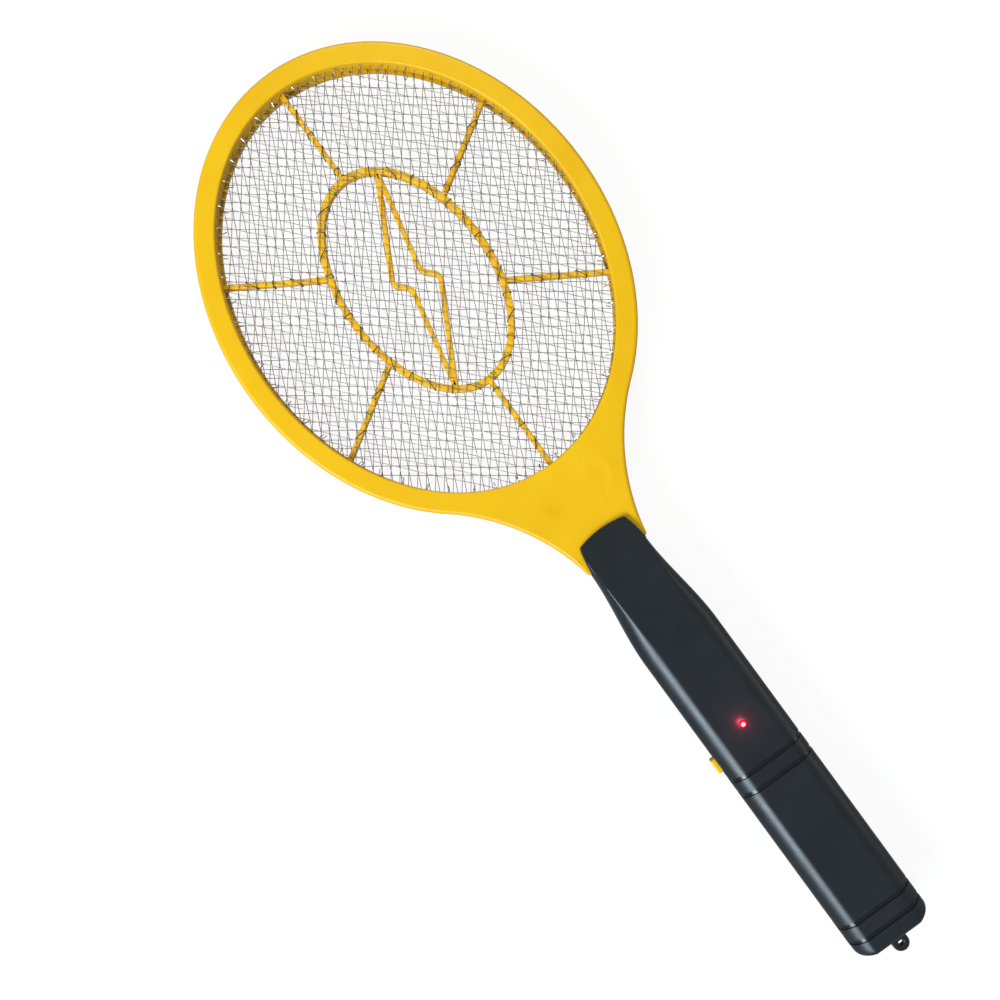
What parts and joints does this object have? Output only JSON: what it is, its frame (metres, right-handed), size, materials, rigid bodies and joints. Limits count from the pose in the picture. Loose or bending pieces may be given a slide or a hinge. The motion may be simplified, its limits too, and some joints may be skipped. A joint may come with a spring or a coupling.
{
  "type": "electric fly swatter",
  "caption": "Battery fly swatter: oval hoop with two woven wire meshes on a slim black handle with push button, lamp and slide-off battery cover.",
  "frame": {"origin": "middle of the underside of the object's box, the swatter lying on its back", "axes": "+Y from the handle's end to the head's tip, +Z out of the front face, +X to the right with the head up and the front towards the viewer"},
  "size_m": [0.17, 0.4514, 0.0228],
  "materials": {
    "yellow_abs": "moulded ABS, satin to gloss, warm yellow",
    "black_abs": "moulded ABS, satin charcoal black",
    "steel_wire": "drawn steel wire, woven, dull grey",
    "nickel_plate": "nickel-plated spring steel",
    "brass_tab": "stamped brass",
    "red_wire": "red PVC insulation",
    "black_wire": "black PVC insulation",
    "battery_jacket": "plain printed steel jacket, no marking",
    "circuit_laminate": "phenolic paper laminate",
    "ferrite": "sintered ferrite, dark grey",
    "black_resin": "moulded black resin",
    "copper_wire": "enamelled copper winding",
    "capacitor_resin": "dipped brown-red resin",
    "blue_resin": "dipped blue resin",
    "diode_body": "moulded diode body with tinned legs",
    "cream_resin": "cream lacquer",
    "red_lens": "diffused red lens, lit"
  },
  "bodies": {
    "handle": {"battery_lead_black": "black_wire", "battery_lead_red": "red_wire", "battery_left": "battery_jacket", "battery_right": "battery_jacket", "bridge_contact": "nickel_plate", "button_spring": "nickel_plate", "circuit_board": "circuit_laminate", "contact_spring_end": "nickel_plate", "contact_spring_top": "nickel_plate", "discharge_capacitor": "capacitor_resin", "handle_front_shell": "black_abs", "handle_rear_shell": "black_abs", "handle_screw_1": "nickel_plate", "handle_screw_2": "nickel_plate", "handle_screw_3": "nickel_plate", "head_frame_front": "yellow_abs", "head_frame_rear": "yellow_abs", "indicator_led": "red_lens", "led_leg_1": "nickel_plate", "led_leg_2": "nickel_plate", "mesh_front": "steel_wire", "mesh_lead_front": "red_wire", "mesh_lead_rear": "black_wire", "mesh_rear": "steel_wire", "mesh_spacer": "yellow_abs", "mesh_terminal_front": "brass_tab", "mesh_terminal_rear": "brass_tab", "multiplier_capacitor_1": "blue_resin", "multiplier_capacitor_2": "blue_resin", "multiplier_capacitor_3": "blue_resin", "negative_contact": "nickel_plate", "positive_contact": "nickel_plate", "push_switch_body": "black_resin", "rectifier_diode_1": "diode_body", "rectifier_diode_2": "diode_body", "rectifier_diode_3": "diode_body", "resistor_1": "cream_resin", "resistor_2": "cream_resin", "resistor_3": "cream_resin", "transformer_bobbin": "black_resin", "transformer_core": "ferrite", "transformer_winding": "copper_wire", "transistor": "black_resin"},
    "button": {"power_button": "yellow_abs", "push_switch_plunger": "cream_resin"},
    "cover": {"battery_cover": "black_abs"}
  },
  "joints": [
    {"name": "button_press", "type": "slide", "parent": "handle", "child": "button", "axis": [1, 0, 0], "range_m": [0, 0.0015], "stiffness_N_per_m": 600, "springref_m": -0.0015, "deforming": ["button_spring"]},
    {"name": "battery_cover_slide", "type": "slide", "parent": "handle", "child": "cover", "axis": [0, -1, 0], "range_m": [0, 0.09]}
  ]
}
